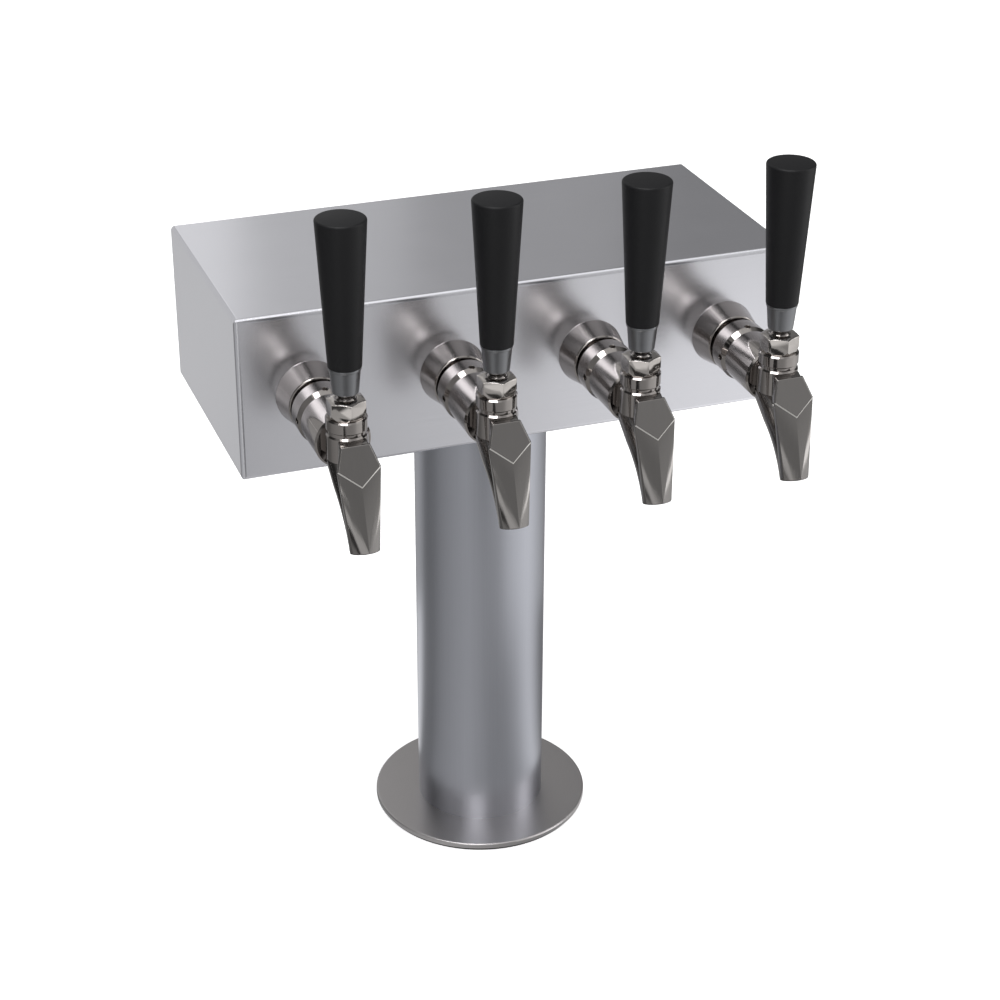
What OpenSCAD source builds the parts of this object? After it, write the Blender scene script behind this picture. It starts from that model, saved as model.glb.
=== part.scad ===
// Beer tower: a round column on a flanged foot carries a wide box head with four taps.
// Millimetres. The origin is on the column's axis at the underside of the foot, +Z is up,
// and the taps face -Y. On a tap, "out" is the distance forward of the head's front face
// and heights are counted from the axis of the shank.

/* [Foot] */
// Outside diameter of the flange that rests on the counter
flange_d = 129; // [112:1:160]
// Thickness of the flange
flange_t = 3; // [2:0.5:6]
// Thickness of the gasket under the flange
gasket_t = 2; // [1:0.5:3]
// How far the gasket's rim lies inside the flange's rim
gasket_inset = 1.5; // [0.5:0.5:5]
// Thickness of the tapped plate inside the foot of the column
foot_plate_t = 10; // [8:1:14]
// Distance of the mounting bolts' circle from the inside of the column's wall
bolt_edge = 6.6; // [5.5:0.1:7.5]
// Diameter of the mounting bolts' threads in the foot plate
bolt_d = 6; // [4:0.5:6.5]
// Diametral clearance of the mounting bolts in the flange and the gasket
bolt_clear = 0.6; // [0.2:0.1:1]
// Clearance of the line connectors in the way through the flange
way_clear = 1.4; // [0.5:0.1:2]

/* [Column] */
// Outside diameter of the column
column_d = 76.2; // [75:0.1:84]
// Wall of the column
column_wall = 1.5; // [1:0.1:2]
// Height of the column between the flange and the head
column_h = 271.5; // [230:0.5:380]
// Thickness of the foam sleeve inside the column
column_foam_t = 9; // [5:0.5:12]
// Thickness of the tapped ring inside the top of the column
top_ring_t = 10; // [6:1:14]
// Width of the top ring, from the inside of the column's wall to the way for the lines
top_ring_w = 11.1; // [10:0.1:13]
// Diameter of the screws that hold the head on the top ring
ring_screw_d = 5; // [3:0.5:5]
// Length of these screws under their heads
ring_screw_len = 9; // [6:0.5:10]

/* [Head] */
// Width of the head across the taps
head_w = 312.5; // [300:0.5:350]
// Depth of the head from the front face to the back
head_d = 142; // [134:0.5:170]
// Height of the head
head_h = 91; // [86:0.5:110]
// How far the middle of the head lies behind the column's axis
head_back = 3.5; // [0:0.5:10]
// Thickness of the head's sheet
head_wall = 1.5; // [1:0.1:2]
// Outside radius of the head's folded edges
head_edge_r = 2.5; // [2.2:0.1:4]
// Width of the lip round the opening at the back
lip_w = 14; // [12:0.5:18]
// Thickness of the foam liner
head_foam_t = 14; // [6:0.5:15]
// Thickness of the back cover
cover_t = 1.5; // [1:0.1:2]
// Gap round the back cover
cover_gap = 0.4; // [0.2:0.1:0.8]
// Diameter of the cover screws
cover_screw_d = 4; // [3:0.5:4]
// Length of the cover screws under their heads
cover_screw_len = 8; // [6:0.5:12]

/* [Shank] */
// Distance of the outer taps from the ends of the head
tap_margin = 38.35; // [36:0.05:45]
// How far the taps' axes lie below the middle of the head
tap_below = 0.5; // [0:0.1:3]
// Outside diameter of the shank
shank_d = 22.2; // [21.6:0.1:22.6]
// Bore of the shank
shank_bore = 7; // [5:0.5:8]
// Length of the shank inside the head, from the front face
shank_in = 45; // [38:0.5:50]
// Length of the shank in front of the front face
shank_out = 26.5; // [26:0.1:27]
// Thickness of the shoulder between the collar and the nut
shoulder_t = 1.4; // [1:0.1:1.8]
// Diameter of the shoulder
shoulder_d = 27; // [25:0.1:28]
// Diameter of the collar at the front face of the head
collar_back_d = 36.8; // [33:0.1:40]
// Diameter of the collar before its bevelled front edge
collar_front_d = 31.4; // [30:0.1:34]
// Length of the collar
collar_len = 17.4; // [16.5:0.1:17.8]
// Length of the collar's bevelled front edge
collar_bevel = 2.4; // [1:0.1:4]
// Outside diameter of the washer inside the head
washer_d = 34; // [28:0.5:36]
// Thickness of this washer
washer_t = 1.6; // [1:0.1:2.5]
// Width across the flats of the locknut
locknut_af = 30; // [27:0.5:31]
// Thickness of the locknut
locknut_t = 8; // [5:0.5:10]
// Width across the flats of the nut on the tail of the shank
tail_nut_af = 27; // [25.5:0.5:30]
// Length of the tail nut
tail_nut_len = 13; // [10:0.5:16]
// Length of the tail piece behind the shank
tail_len = 18; // [15:0.5:22]

/* [Coupling nut] */
// Outside diameter of the coupling nut
nut_d = 31.2; // [28:0.1:32.5]
// Diameter of the nut's nose
nut_nose_d = 27; // [25:0.1:28]
// Length of the nut's nose
nut_nose_len = 3.4; // [2:0.1:4]
// Diameter of the nut's holes for a pin wrench
nut_hole_d = 3.4; // [2.5:0.1:4]
// Depth of these holes
nut_hole_deep = 2; // [1:0.1:2.4]
// Thickness of the washer between the shank and the tap
seal_t = 1.5; // [1:0.1:2]

/* [Tap body] */
// Diameter of the tap's lying body
body_d = 29.2; // [27:0.1:30]
// How far the body's front end lies behind the barrel's axis
body_back = 6.5; // [6:0.1:8]
// Diameter of the body's neck in the nut's nose
neck_d = 18.6; // [17:0.1:19.2]
// Thickness of the body's flange behind the nut's nose
tail_flange_t = 3; // [2:0.1:3.4]
// Distance of the upright barrel's axis from the head
tap_reach = 67; // [66:0.1:69]
// Diameter of the barrel
barrel_d = 19.6; // [19.4:0.1:22]
// Height of the barrel's top above the axis
barrel_top = 17.6; // [17:0.1:18]
// Depth of the barrel's underside below the axis
barrel_low = 5.4; // [5.2:0.1:7]
// Diameter of the passage along the body
passage_d = 8.5; // [7.6:0.1:9]

/* [Bonnet and lever] */
// Thickness of the bonnet's wall round the ball, at the middle of a flat
bonnet_wall = 1.4; // [1.2:0.1:2]
// Height of the bonnet above the barrel
bonnet_h = 9.6; // [9.2:0.1:10]
// Thickness of the wall of the bonnet's spigot in the barrel
spigot_wall = 1.25; // [0.9:0.05:1.5]
// Depth of the bonnet's spigot
spigot_h = 2.4; // [1.6:0.1:2.6]
// Diameter of the lever's ball
ball_d = 13.2; // [12.8:0.1:13.4]
// Height of the ball's centre above the barrel
pivot_rise = 5.6; // [5.2:0.1:5.8]
// Diameter of the lever's neck above the ball
lever_neck_d = 6; // [5:0.1:6.2]
// Diameter of the lever's finger below the ball
finger_d = 3.6; // [3:0.1:4]
// Diameter of the lever's stud in the handle
stud_d = 8; // [6:0.1:9]
// Length of the lever's stud
stud_len = 30; // [20:0.5:40]
// Angle that the lever tips forward to open the tap
lever_open = 24; // [16:0.5:24]
// Height of the ferrule's underside above the bonnet
ferrule_rise = 2.8; // [2.8:0.1:4]
// Diameter of the ferrule's lower end
ferrule_low_d = 13.4; // [12.4:0.1:13.6]
// Diameter of the ferrule's upper end
ferrule_top_d = 15.9; // [14:0.1:16.4]
// Height of the ferrule
ferrule_h = 14; // [10:0.1:18]
// Diameter of the handle's lower end
handle_low_d = 16.5; // [16.4:0.1:19]
// Diameter of the handle's upper end
handle_top_d = 24.7; // [20:0.1:30]
// Height of the handle
handle_h = 76.4; // [60:0.1:110]

/* [Spout] */
// Slope of the spout's straight part below the horizontal, in degrees
spout_slope = 34.4; // [32:0.1:36]
// Lean of the spout's end from the upright, in degrees
spout_lean = 15.9; // [12:0.1:18]
// Depth of the spout's straight part below the axis where it leaves the body
run_drop = 7.6; // [7:0.1:8]
// Distance of the spout's end in front of the barrel's axis
spout_ahead = 27; // [25:0.5:29]
// Depth of the spout's end below the axis
spout_drop = 45.2; // [44:0.5:50]
// Diameter of the spout where it leaves the body
spout_d = 18.6; // [17:0.1:18.8]
// How much smaller the spout's diameter is in its bend and at its end
spout_taper = 3.2; // [2:0.1:4]
// Bore of the spout
spout_bore = 8.6; // [7:0.1:9]
// Thickness of the wall of the spout's spigot in the body
spout_spigot_wall = 1; // [0.6:0.1:1.2]
// Lean of the shield from the upright, in degrees
shield_lean = 30.6; // [28:0.1:33]
// Distance of the shield's top edge in front of the barrel's axis
shield_ahead = 14.4; // [13.5:0.1:16]
// Height of the shield's top edge above the axis
shield_rise = 8.1; // [6:0.1:9]
// Width of the shield's top edge
shield_top_w = 15.4; // [13:0.1:18]
// Greatest width of the shield
shield_w = 23; // [20:0.1:25]
// Length of the shield from its top edge to its greatest width
shield_side = 12.4; // [10:0.1:14]
// Length of the shield from its top edge to its point
shield_len = 22; // [19:0.1:24]

/* [Lines] */
// Outside diameter of the beer lines
line_d = 9.5; // [8:0.1:9.5]
// Depth of the sockets
socket_deep = 8; // [6:0.5:10]
// Outside diameter of the line connectors in the foot
connector_d = 16.4; // [14:0.1:16.8]
// Length of the line connectors
connector_len = 34; // [28:0.5:40]
// Gap between neighbouring line connectors
connector_gap = 3.6; // [3:0.1:4]

/* [Hidden] */

$fn = 64;

// Named clearances: a running fit and a bolted-up gap, both on the radius, and the gap round foam
slip = 0.05;
gap = 0.3;
foam_gap = 0.3;
// Amount by which a cut reaches past the face that it leaves
over = 1;

// Heights of the foot, the column and the head
foot_top = gasket_t + flange_t;
head_z = foot_top + column_h;
shank_z = head_z + head_h / 2 - tap_below;
front_y = head_back - head_d / 2;
back_y = head_back + head_d / 2;
column_bore_r = column_d / 2 - column_wall;
top_ring_r = column_bore_r - slip;
top_way_r = column_bore_r - top_ring_w;
top_screw_r = (top_ring_r + top_way_r) / 2;
top_screws = 6;
bolts = 4;
bolt_circle_r = column_bore_r - bolt_edge;

// The taps stand in one row, evenly about the column
taps = 4;
tap_pitch = (head_w - 2 * tap_margin) / (taps - 1);
function tap_x(n) = (n - (taps + 1) / 2) * tap_pitch;

socket_d = line_d + 2 * slip;
line_off = (connector_d + connector_gap) / 2;
foot_way_r = sqrt(2) * line_off + connector_d / 2 + way_clear;

// The lines stand at the corners of a square about the column's axis; each tap has one corner
function line_x(n) = (n < 2.5 ? -1 : 1) * line_off;
function line_y(n) = (n == 1 || n == taps ? 1 : -1) * line_off;
connector_low = gasket_t + 2;

// The back cover, its lip and its screws
cover_w = head_w - 2 * (head_wall + cover_gap);
cover_h = head_h - 2 * (head_wall + cover_gap);
cover_edge_r = 1;
lip_y = back_y - cover_t;
cover_hole_x = cover_w / 2 - lip_w / 2;
cover_hole_z = cover_h / 2 - lip_w / 2;
cover_screw_xs = [-cover_hole_x, -cover_hole_x / 3, cover_hole_x / 3, cover_hole_x];
screw_head_ratio = 2;
screw_head_tall = 0.6;

// Places along a shank and a tap, as distances out of the head's front face
shoulder_at = collar_len;
nut_at = shoulder_at + shoulder_t;
shank_thread_r = shank_d / 2;
shank_well_d = 13;
body_tail_at = shank_out + seal_t;
nose_wall_at = body_tail_at + tail_flange_t;
nose_wall_t = 2.8;
nut_end = nose_wall_at + nose_wall_t;
body_at = nut_end + 0.7;
body_out = tap_reach - body_back;
chamber_d = 12.8;
barrel_wall = 3.3;
seat_at = body_tail_at + 4.1;
nut_hole_at = nut_end - nut_nose_len - nut_hole_d / 4;

// The lever: the height of its ball, its finger's reach and the shuttle's travel
pivot_z = barrel_top + pivot_rise;
arm = pivot_z;
travel = arm * sin(lever_open);
ball_r = ball_d / 2;
socket_r = ball_r + 2 * slip;
bonnet_af = 2 * (socket_r + bonnet_wall);
spigot_d = 2 * (socket_r + spigot_wall);
bonnet_top = barrel_top + bonnet_h;
ferrule_z = bonnet_top + ferrule_rise;
handle_z = ferrule_z + ferrule_h;
finger_r = finger_d / 2;
swing_room = 0.45;
passage_end = tap_reach + barrel_d / 2 - barrel_wall;

// The shuttle: a seal at the back, a thin stem and a block that the finger moves
shuttle_block_d = passage_d - 2 * slip;
shuttle_block_len = 9.4;
shuttle_stem_d = 4;
seal_head_d = 11.4;
seal_head_t = 3;
seal_gap = 0.1;
// The shank's well is as deep as the seal goes
shank_well_at = seat_at - seal_gap - seal_head_t - travel - over;

// The spout's path in the plane out-and-up: a straight run and a bend that ends at the outlet
run_start = [body_out, -run_drop];
run_dir = [cos(spout_slope), -sin(spout_slope)];
tip_at = [tap_reach + spout_ahead, -spout_drop];
tip_dir = [sin(spout_lean), -cos(spout_lean)];
// Lengths from both ends to the corner where the two straight parts would meet
corner_run = cross(tip_at - run_start, tip_dir) / cross(run_dir, tip_dir);
corner_end = cross(run_dir, tip_at - run_start) / cross(run_dir, tip_dir);
bend_turn = 90 - spout_lean - spout_slope;
bend_r = corner_end / tan(bend_turn / 2);
run_len = corner_run - corner_end;
bend_mid = tip_at + bend_r * [tip_dir[1], -tip_dir[0]];
// The run reaches a little into the bend and the bend into the run
path_lap = 1;
lap_turn = path_lap / bend_r * 180 / PI;
// The spout's spigot goes back into the body and shows as a neck under the barrel
spigot_back = 8;
spigot_front = 10;
spigot_well = 14;
blade_inset = 0.3;
run_bore_r = spout_bore / 2 + 0.3;
spout_spigot_d = 2 * (run_bore_r + spout_spigot_wall);
spout_bend_d = spout_d - spout_taper;
shield_out = tap_reach + shield_ahead;
saddle_gap = 2;

// Foam: a sleeve in the column and a liner under the head's roof and along both ends
liner_front = front_y + head_wall + foam_gap;
liner_back = back_y - cover_screw_len - over;

// The lines' free routes from their tail pieces to the column, for the right-hand taps. Points chosen
// by hand: share of the way across from the column to the tap, place along Y, height in the head.
inner_route = [[1, 3, 45], [0.89, 9, 40], [0.61, 7, 29], [0.27, -1, 18], [0.03, -8, 6]];
outer_route = [[1, 8, 45], [0.95, 24, 45], [0.82, 34, 45], [0.63, 38, 43], [0.44, 37, 40], [0.28, 31, 33],
    [0.15, 22, 21], [0.05, 15, 8]];
// Below this depth under the head the lines run straight down the column, drawn in so many parts
line_drop = 8;
column_parts = 6;

// A disc, cone or rod whose axis runs out of the head's front face, from one distance to another
module out_rod(from, to, r, r_end = -1) {
    translate([0, -from, 0])
        rotate([90, 0, 0])
            cylinder(h = to - from, r1 = r, r2 = r_end < 0 ? r : r_end);
}

// A hexagon across the flats, along +Z, with a corner towards -Y
module hex_rod(af, h) {
    rotate([0, 0, 30])
        cylinder(h = h, d = af / cos(30), $fn = 6);
}

// A hexagon nut with a round bore whose axis runs out of the head's front face
module out_hex_nut(from, to, af, bore_r) {
    difference() {
        translate([0, -from, 0])
            rotate([90, 0, 0])
                hex_rod(af, to - from);
        out_rod(from - over, to + over, bore_r);
    }
}

// A rectangle with round corners, centred
module round_rect(w, h, r) {
    square([w - 2 * r, h], center = true);
    square([w, h - 2 * r], center = true);
    for (x = [-1, 1], y = [-1, 1])
        translate([x * (w / 2 - r), y * (h / 2 - r)])
            circle(r);
}

// A box whose twelve edges are rounded, from three crossed plates; its middle is at the origin
module round_box(w, d, h, r) {
    intersection() {
        linear_extrude(h + over, center = true) round_rect(w, d, r);
        rotate([90, 0, 0]) linear_extrude(d + over, center = true) round_rect(w, h, r);
        rotate([90, 0, 90]) linear_extrude(w + over, center = true) round_rect(d, h, r);
    }
}

// Moves what follows to a tap: the origin is on the shank's axis at the head's front face
module at_tap(n) {
    translate([tap_x(n), front_y, shank_z]) children();
}

module at_each_tap() {
    for (n = [1:taps]) at_tap(n) children();
}

// A ring standing on the XY plane
module ring(r_out, r_in, h) {
    difference() {
        cylinder(h = h, r = r_out);
        translate([0, 0, -over]) cylinder(h = h + 2 * over, r = r_in);
    }
}

// Holes of the mounting bolts, all through
module bolt_holes(d, h) {
    for (i = [0:bolts - 1])
        rotate([0, 0, i * 360 / bolts])
            translate([bolt_circle_r, 0, -over])
                cylinder(h = h + 2 * over, d = d);
}

// Rubber gasket between the flange and the counter
module gasket() {
    color("#2b2b2d")
        difference() {
            ring(flange_d / 2 - gasket_inset, foot_way_r, gasket_t);
            bolt_holes(bolt_d + bolt_clear, gasket_t);
        }
}

// Polished flange that the column stands on, with a small rounded upper edge
module base_flange() {
    edge = flange_t / 3;
    color("#9a9ca0")
        translate([0, 0, gasket_t])
            difference() {
                rotate_extrude($fn = 128)
                    difference() {
                        union() {
                            square([flange_d / 2 - edge, flange_t]);
                            square([flange_d / 2, flange_t - edge]);
                            translate([flange_d / 2 - edge, flange_t - edge]) circle(edge);
                        }
                        translate([0, -over]) square([foot_way_r, flange_t + 2 * over]);
                    }
                bolt_holes(bolt_d + bolt_clear, flange_t);
            }
}

// Plate welded into the foot of the column: tapped for the mounting bolts, it also holds the connectors
module foot_plate() {
    color("#8d8f93")
        translate([0, 0, foot_top])
            difference() {
                cylinder(h = foot_plate_t, r = column_bore_r - slip);
                bolt_holes(bolt_d, foot_plate_t);
                for (n = [1:taps])
                    translate([line_x(n), line_y(n), -over])
                        cylinder(h = foot_plate_t + 2 * over, r = connector_d / 2 + slip);
            }
}

// Satin steel tube of the column
module column_tube() {
    color("#b4b6ba")
        translate([0, 0, foot_top])
            difference() {
                cylinder(h = column_h, d = column_d, $fn = 128);
                translate([0, 0, -over])
                    cylinder(h = column_h + 2 * over, r = column_bore_r, $fn = 128);
            }
}

// Foam sleeve inside the column
module column_foam() {
    color("#d9d2bc")
        translate([0, 0, foot_top + foot_plate_t + foam_gap])
            ring(column_bore_r - foam_gap, column_bore_r - column_foam_t,
                column_h - foot_plate_t - top_ring_t - 2 * foam_gap);
}

// Places of the screws that hold the head on the top ring
module at_ring_screws() {
    for (i = [0:top_screws - 1])
        rotate([0, 0, i * 360 / top_screws])
            translate([top_screw_r, 0, 0])
                children();
}

// Ring welded inside the top of the column, tapped for the head's screws
module top_ring() {
    color("#8d8f93")
        translate([0, 0, head_z - top_ring_t])
            difference() {
                ring(top_ring_r, top_way_r, top_ring_t);
                at_ring_screws()
                    translate([0, 0, -over])
                        cylinder(h = top_ring_t + 2 * over, r = ring_screw_d / 2 + slip);
            }
}

// Pan-head screw that points down, with the underside of its head at the origin
module pan_screw(d, len) {
    head_r = screw_head_ratio * d / 2;
    translate([0, 0, -len]) cylinder(h = len, d = d);
    difference() {
        cylinder(h = screw_head_tall * d, r1 = head_r, r2 = head_r * 0.8);
        translate([0, 0, screw_head_tall * d - d / 4])
            hex_rod(d / 2, d);
    }
}

// Screws through the head's floor into the top ring
module top_ring_screws() {
    color("#a9abaf")
        translate([0, 0, head_z + head_wall])
            at_ring_screws()
                pan_screw(ring_screw_d, ring_screw_len);
}

// Middle of the head, from which its shell is drawn
module at_head() {
    translate([0, head_back, head_z + head_h / 2]) children();
}

// Places of the screws in the back cover, with +Z pointing out of the back
module at_cover_screws() {
    for (x = cover_screw_xs, z = [-cover_hole_z, cover_hole_z])
        translate([x, back_y, head_z + head_h / 2 + z])
            rotate([-90, 0, 0])
                children();
}

// Folded sheet box: front, roof, floor and ends, open at the back inside a lip
module head_shell() {
    inner_r = head_edge_r - head_wall;
    color("#b9bbc0")
        difference() {
            at_head()
                translate([0, head_edge_r, 0])
                    round_box(head_w, head_d + 2 * head_edge_r, head_h, head_edge_r);
            translate([0, back_y + head_edge_r + over, head_z + head_h / 2])
                cube([head_w + over, 2 * (head_edge_r + over), head_h + over], center = true);
            at_head()
                translate([0, -cover_t / 2, 0])
                    round_box(head_w - 2 * head_wall, head_d - 2 * head_wall - cover_t,
                        head_h - 2 * head_wall, inner_r);
            // Recess that the cover lies in, and the opening inside the lip
            translate([0, back_y, head_z + head_h / 2])
                rotate([90, 0, 0])
                    linear_extrude(2 * cover_t, center = true)
                        round_rect(head_w - 2 * head_wall, head_h - 2 * head_wall, inner_r);
            translate([0, lip_y, head_z + head_h / 2])
                cube([cover_w - 2 * lip_w, 4 * head_wall, cover_h - 2 * lip_w], center = true);
            at_each_tap() out_rod(-head_wall - over, over, shank_thread_r + slip);
            translate([0, 0, head_z - over]) cylinder(h = head_wall + 2 * over, r = top_way_r);
            translate([0, 0, head_z - over])
                at_ring_screws()
                    cylinder(h = head_wall + 2 * over, r = ring_screw_d / 2 + slip);
            at_cover_screws()
                translate([0, 0, -cover_screw_len])
                    cylinder(h = cover_screw_len, r = cover_screw_d / 2 + slip);
        }
}

// Foam liner: a slab under the roof and one along each end, cut as one piece
module head_foam() {
    liner_w = head_w - 2 * (head_wall + foam_gap);
    liner_h = head_h - 2 * (head_wall + foam_gap);
    color("#d9d2bc")
        translate([0, (liner_front + liner_back) / 2, head_z + head_h / 2])
            difference() {
                round_box(liner_w, liner_back - liner_front, liner_h, head_edge_r - head_wall - foam_gap);
                translate([0, 0, -head_foam_t])
                    cube([liner_w - 2 * head_foam_t, liner_back - liner_front + over, liner_h],
                        center = true);
            }
}

// Back cover, a flat sheet that lies in the shell's back
module back_cover() {
    color("#b4b6ba")
        difference() {
            translate([0, back_y, head_z + head_h / 2])
                rotate([90, 0, 0])
                    linear_extrude(cover_t)
                        round_rect(cover_w, cover_h, cover_edge_r);
            at_cover_screws()
                translate([0, 0, -cover_t - over])
                    cylinder(h = cover_t + 2 * over, r = cover_screw_d / 2 + slip);
        }
}

// Screws through the back cover into the lip
module back_cover_screws() {
    color("#a9abaf")
        at_cover_screws()
            pan_screw(cover_screw_d, cover_screw_len);
}

// Shank: a threaded tube through the head's wall with a shoulder and a well for the tap's valve
module shank(n) {
    color("#c3c4c8")
        at_tap(n)
            difference() {
                union() {
                    out_rod(-shank_in, shank_out, shank_thread_r);
                    out_rod(shoulder_at, nut_at, shoulder_d / 2);
                }
                out_rod(-shank_in - over, shank_out + over, shank_bore / 2);
                out_rod(shank_well_at, shank_out + over, shank_well_d / 2);
            }
}

// Tapered collar that stands against the head's front face, under the shank's shoulder
module shank_collars() {
    color("#c9c7c4")
        at_each_tap()
            difference() {
                union() {
                    out_rod(0, collar_len - collar_bevel, collar_back_d / 2, collar_front_d / 2);
                    out_rod(collar_len - collar_bevel, collar_len, collar_front_d / 2, shoulder_d / 2 + 1);
                }
                out_rod(-over, collar_len + over, shank_thread_r + slip);
            }
}

// Washer behind the head's wall
module shank_washers() {
    color("#9fa1a5")
        at_each_tap()
            difference() {
                out_rod(-head_wall - washer_t, -head_wall, washer_d / 2);
                out_rod(-head_wall - washer_t - over, -head_wall + over, shank_thread_r + slip);
            }
}

// Locknut that pulls the shank and its collar against the wall
module shank_locknuts() {
    at = -head_wall - washer_t;
    color("#b08d4f")
        at_each_tap()
            out_hex_nut(at - locknut_t, at, locknut_af, shank_thread_r + slip);
}

// Flange of the tail piece, held against the shank by the tail nut
tail_flange = 2;
tail_stem_r = 7;

// Nut that holds the tail piece on the end of the shank
module tail_nuts() {
    lip = 2;
    end = -shank_in - tail_flange - lip;
    color("#b08d4f")
        at_each_tap()
            difference() {
                out_hex_nut(end, end + tail_nut_len, tail_nut_af, tail_stem_r + slip);
                out_rod(end + lip, end + tail_nut_len + over, shank_thread_r + slip);
            }
}

// Tail piece with a socket for the beer line
module tail_pieces() {
    end = -shank_in - tail_len;
    color("#c3c4c8")
        at_each_tap()
            difference() {
                union() {
                    out_rod(-shank_in - tail_flange, -shank_in, shank_thread_r);
                    out_rod(end, -shank_in, tail_stem_r);
                }
                out_rod(end - over, -shank_in + over, shank_bore / 2);
                out_rod(end - over, end + socket_deep, socket_d / 2);
            }
}

// Push-in connectors in the foot plate: a socket at the top for the tower's line and one below
module line_connectors() {
    collar_r = connector_d / 2 + connector_gap / 4;
    collar_z = foot_top + foot_plate_t;
    stop = (connector_len - 2 * (socket_deep + 4)) / 2;
    color("#e4e4e2")
        for (n = [1:taps])
            translate([line_x(n), line_y(n), 0])
                difference() {
                    union() {
                        translate([0, 0, connector_low]) cylinder(h = connector_len, d = connector_d);
                        translate([0, 0, collar_z]) cylinder(h = 3, r = collar_r);
                    }
                    translate([0, 0, connector_low - over])
                        cylinder(h = connector_len + 2 * over, d = shank_bore);
                    translate([0, 0, connector_low - over])
                        cylinder(h = connector_len / 2 - stop + over, d = socket_d);
                    translate([0, 0, connector_low + connector_len - socket_deep])
                        cylinder(h = socket_deep + over, d = socket_d);
                }
}

// One point of a smooth curve through p1 and p2, with their outer neighbours p0 and p3
function curve_point(p0, p1, p2, p3, t) =
    0.5 * (2 * p1 + (p2 - p0) * t + (2 * p0 - 5 * p1 + 4 * p2 - p3) * t * t
        + (3 * p1 - p0 - 3 * p2 + p3) * t * t * t);

// The curve through a list of points, with one more point between each pair
function curve_points(p) = concat(
    [for (i = [0:len(p) - 2], t = [0, 0.5])
        curve_point(p[max(i - 1, 0)], p[i], p[i + 1], p[min(i + 2, len(p) - 1)], t)],
    [p[len(p) - 1]]);

function unit(v) = v / norm(v);

// Direction of a path at its point i; the ends run straight out of their sockets
function path_dir(p, i) =
    i == 0 ? [0, 1, 0] : i == len(p) - 1 ? [0, 0, -1] : unit(p[i + 1] - p[i - 1]);

// A ring of points round a path's point, in a frame that never turns over on these routes
function path_ring(p, i, r, sides) =
    let (d = path_dir(p, i), u = unit(cross(d, [1, 1, 0])), v = cross(d, u))
    [for (k = [0:sides - 1]) p[i] + r * (cos(360 * k / sides) * u + sin(360 * k / sides) * v)];

// A solid tube along a path
module swept(p, r, sides) {
    rings = [for (i = [0:len(p) - 1]) each path_ring(p, i, r, sides)];
    last = (len(p) - 1) * sides;
    side_faces = [for (i = [0:len(p) - 2], k = [0:sides - 1], h = [0, 1])
        let (a = i * sides + k, b = i * sides + (k + 1) % sides)
        h == 0 ? [a, b, b + sides] : [a, b + sides, a + sides]];
    start_face = [for (k = [sides - 1:-1:0]) k];
    end_face = [for (k = [0:sides - 1]) last + k];
    polyhedron(rings, concat(side_faces, [start_face, end_face]));
}

// Beer line of a right-hand tap, from its tail piece to its connector
module right_line(n, route) {
    start = [tap_x(n), front_y + shank_in + tail_len - socket_deep + 1, shank_z];
    mouth = start + [0, socket_deep, 0];
    across = tap_x(n) - line_x(n);
    free = [for (p = route) [line_x(n) + p[0] * across, p[1], head_z + p[2]]];
    top = head_z - line_drop;
    low = connector_low + connector_len - socket_deep + 1;
    foot = [for (k = [0:column_parts]) [line_x(n), line_y(n), top + (low - top) * k / column_parts]];
    color("#d8dadd")
        swept(curve_points(concat([start, mouth], free, foot)), line_d / 2, 12);
}

module beer_line(n) {
    pair = n > taps / 2 ? n : taps + 1 - n;
    mirror([n > taps / 2 ? 0 : 1, 0, 0])
        right_line(pair, pair == taps ? outer_route : inner_route);
}

// Washer between the shank and the tap's tail
module tap_washers() {
    color("#3a3a3c")
        at_each_tap()
            difference() {
                out_rod(shank_out, body_tail_at, shank_thread_r - slip);
                out_rod(shank_out - over, body_tail_at + over, shank_well_d / 2);
            }
}

// Coupling nut with a tapered nose and four blind holes for a pin wrench
module coupling_nut(n) {
    color("#c9c7c4")
        at_tap(n)
            difference() {
                union() {
                    out_rod(nut_at, nut_end - nut_nose_len, nut_d / 2);
                    out_rod(nut_end - nut_nose_len, nut_end, nut_d / 2, nut_nose_d / 2);
                }
                out_rod(nut_at - over, nose_wall_at, shank_thread_r + slip);
                out_rod(nut_at, nut_end + over, neck_d / 2 + slip);
                for (a = [0, 90, 180, 270])
                    translate([0, -nut_hole_at, 0])
                        rotate([0, a, 0])
                            translate([0, 0, nut_d / 2 - nut_hole_deep])
                                cylinder(h = nut_hole_deep + over, d = nut_hole_d);
            }
}

// Room that the lever's finger sweeps inside the body and the barrel, seen from the side
module finger_room() {
    low_swing = arm * sin(lever_open) + finger_r + swing_room;
    high_swing = pivot_rise * tan(lever_open) + finger_r / cos(lever_open) + swing_room;
    mid_z = barrel_top / 2;
    mid_swing = (pivot_z - mid_z) * tan(lever_open) + finger_r / cos(lever_open) + swing_room;
    front = finger_r + 1;
    rotate([90, 0, 90])
        linear_extrude(2 * (finger_r + swing_room), center = true)
            polygon([
                [-tap_reach - front, 0],
                [-tap_reach - front, barrel_top + over],
                [-tap_reach + high_swing, barrel_top + over],
                [-tap_reach + high_swing, barrel_top],
                [-tap_reach + mid_swing, mid_z],
                [-tap_reach + low_swing, arm * (1 - cos(lever_open)) + finger_r],
                [-tap_reach + low_swing, 0]]);
}

// Axis of the spout's straight run, with +Z pointing back up along it
module at_run() {
    translate([0, -run_start[0], run_start[1]])
        rotate([spout_slope - 90, 0, 0])
            children();
}

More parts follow.
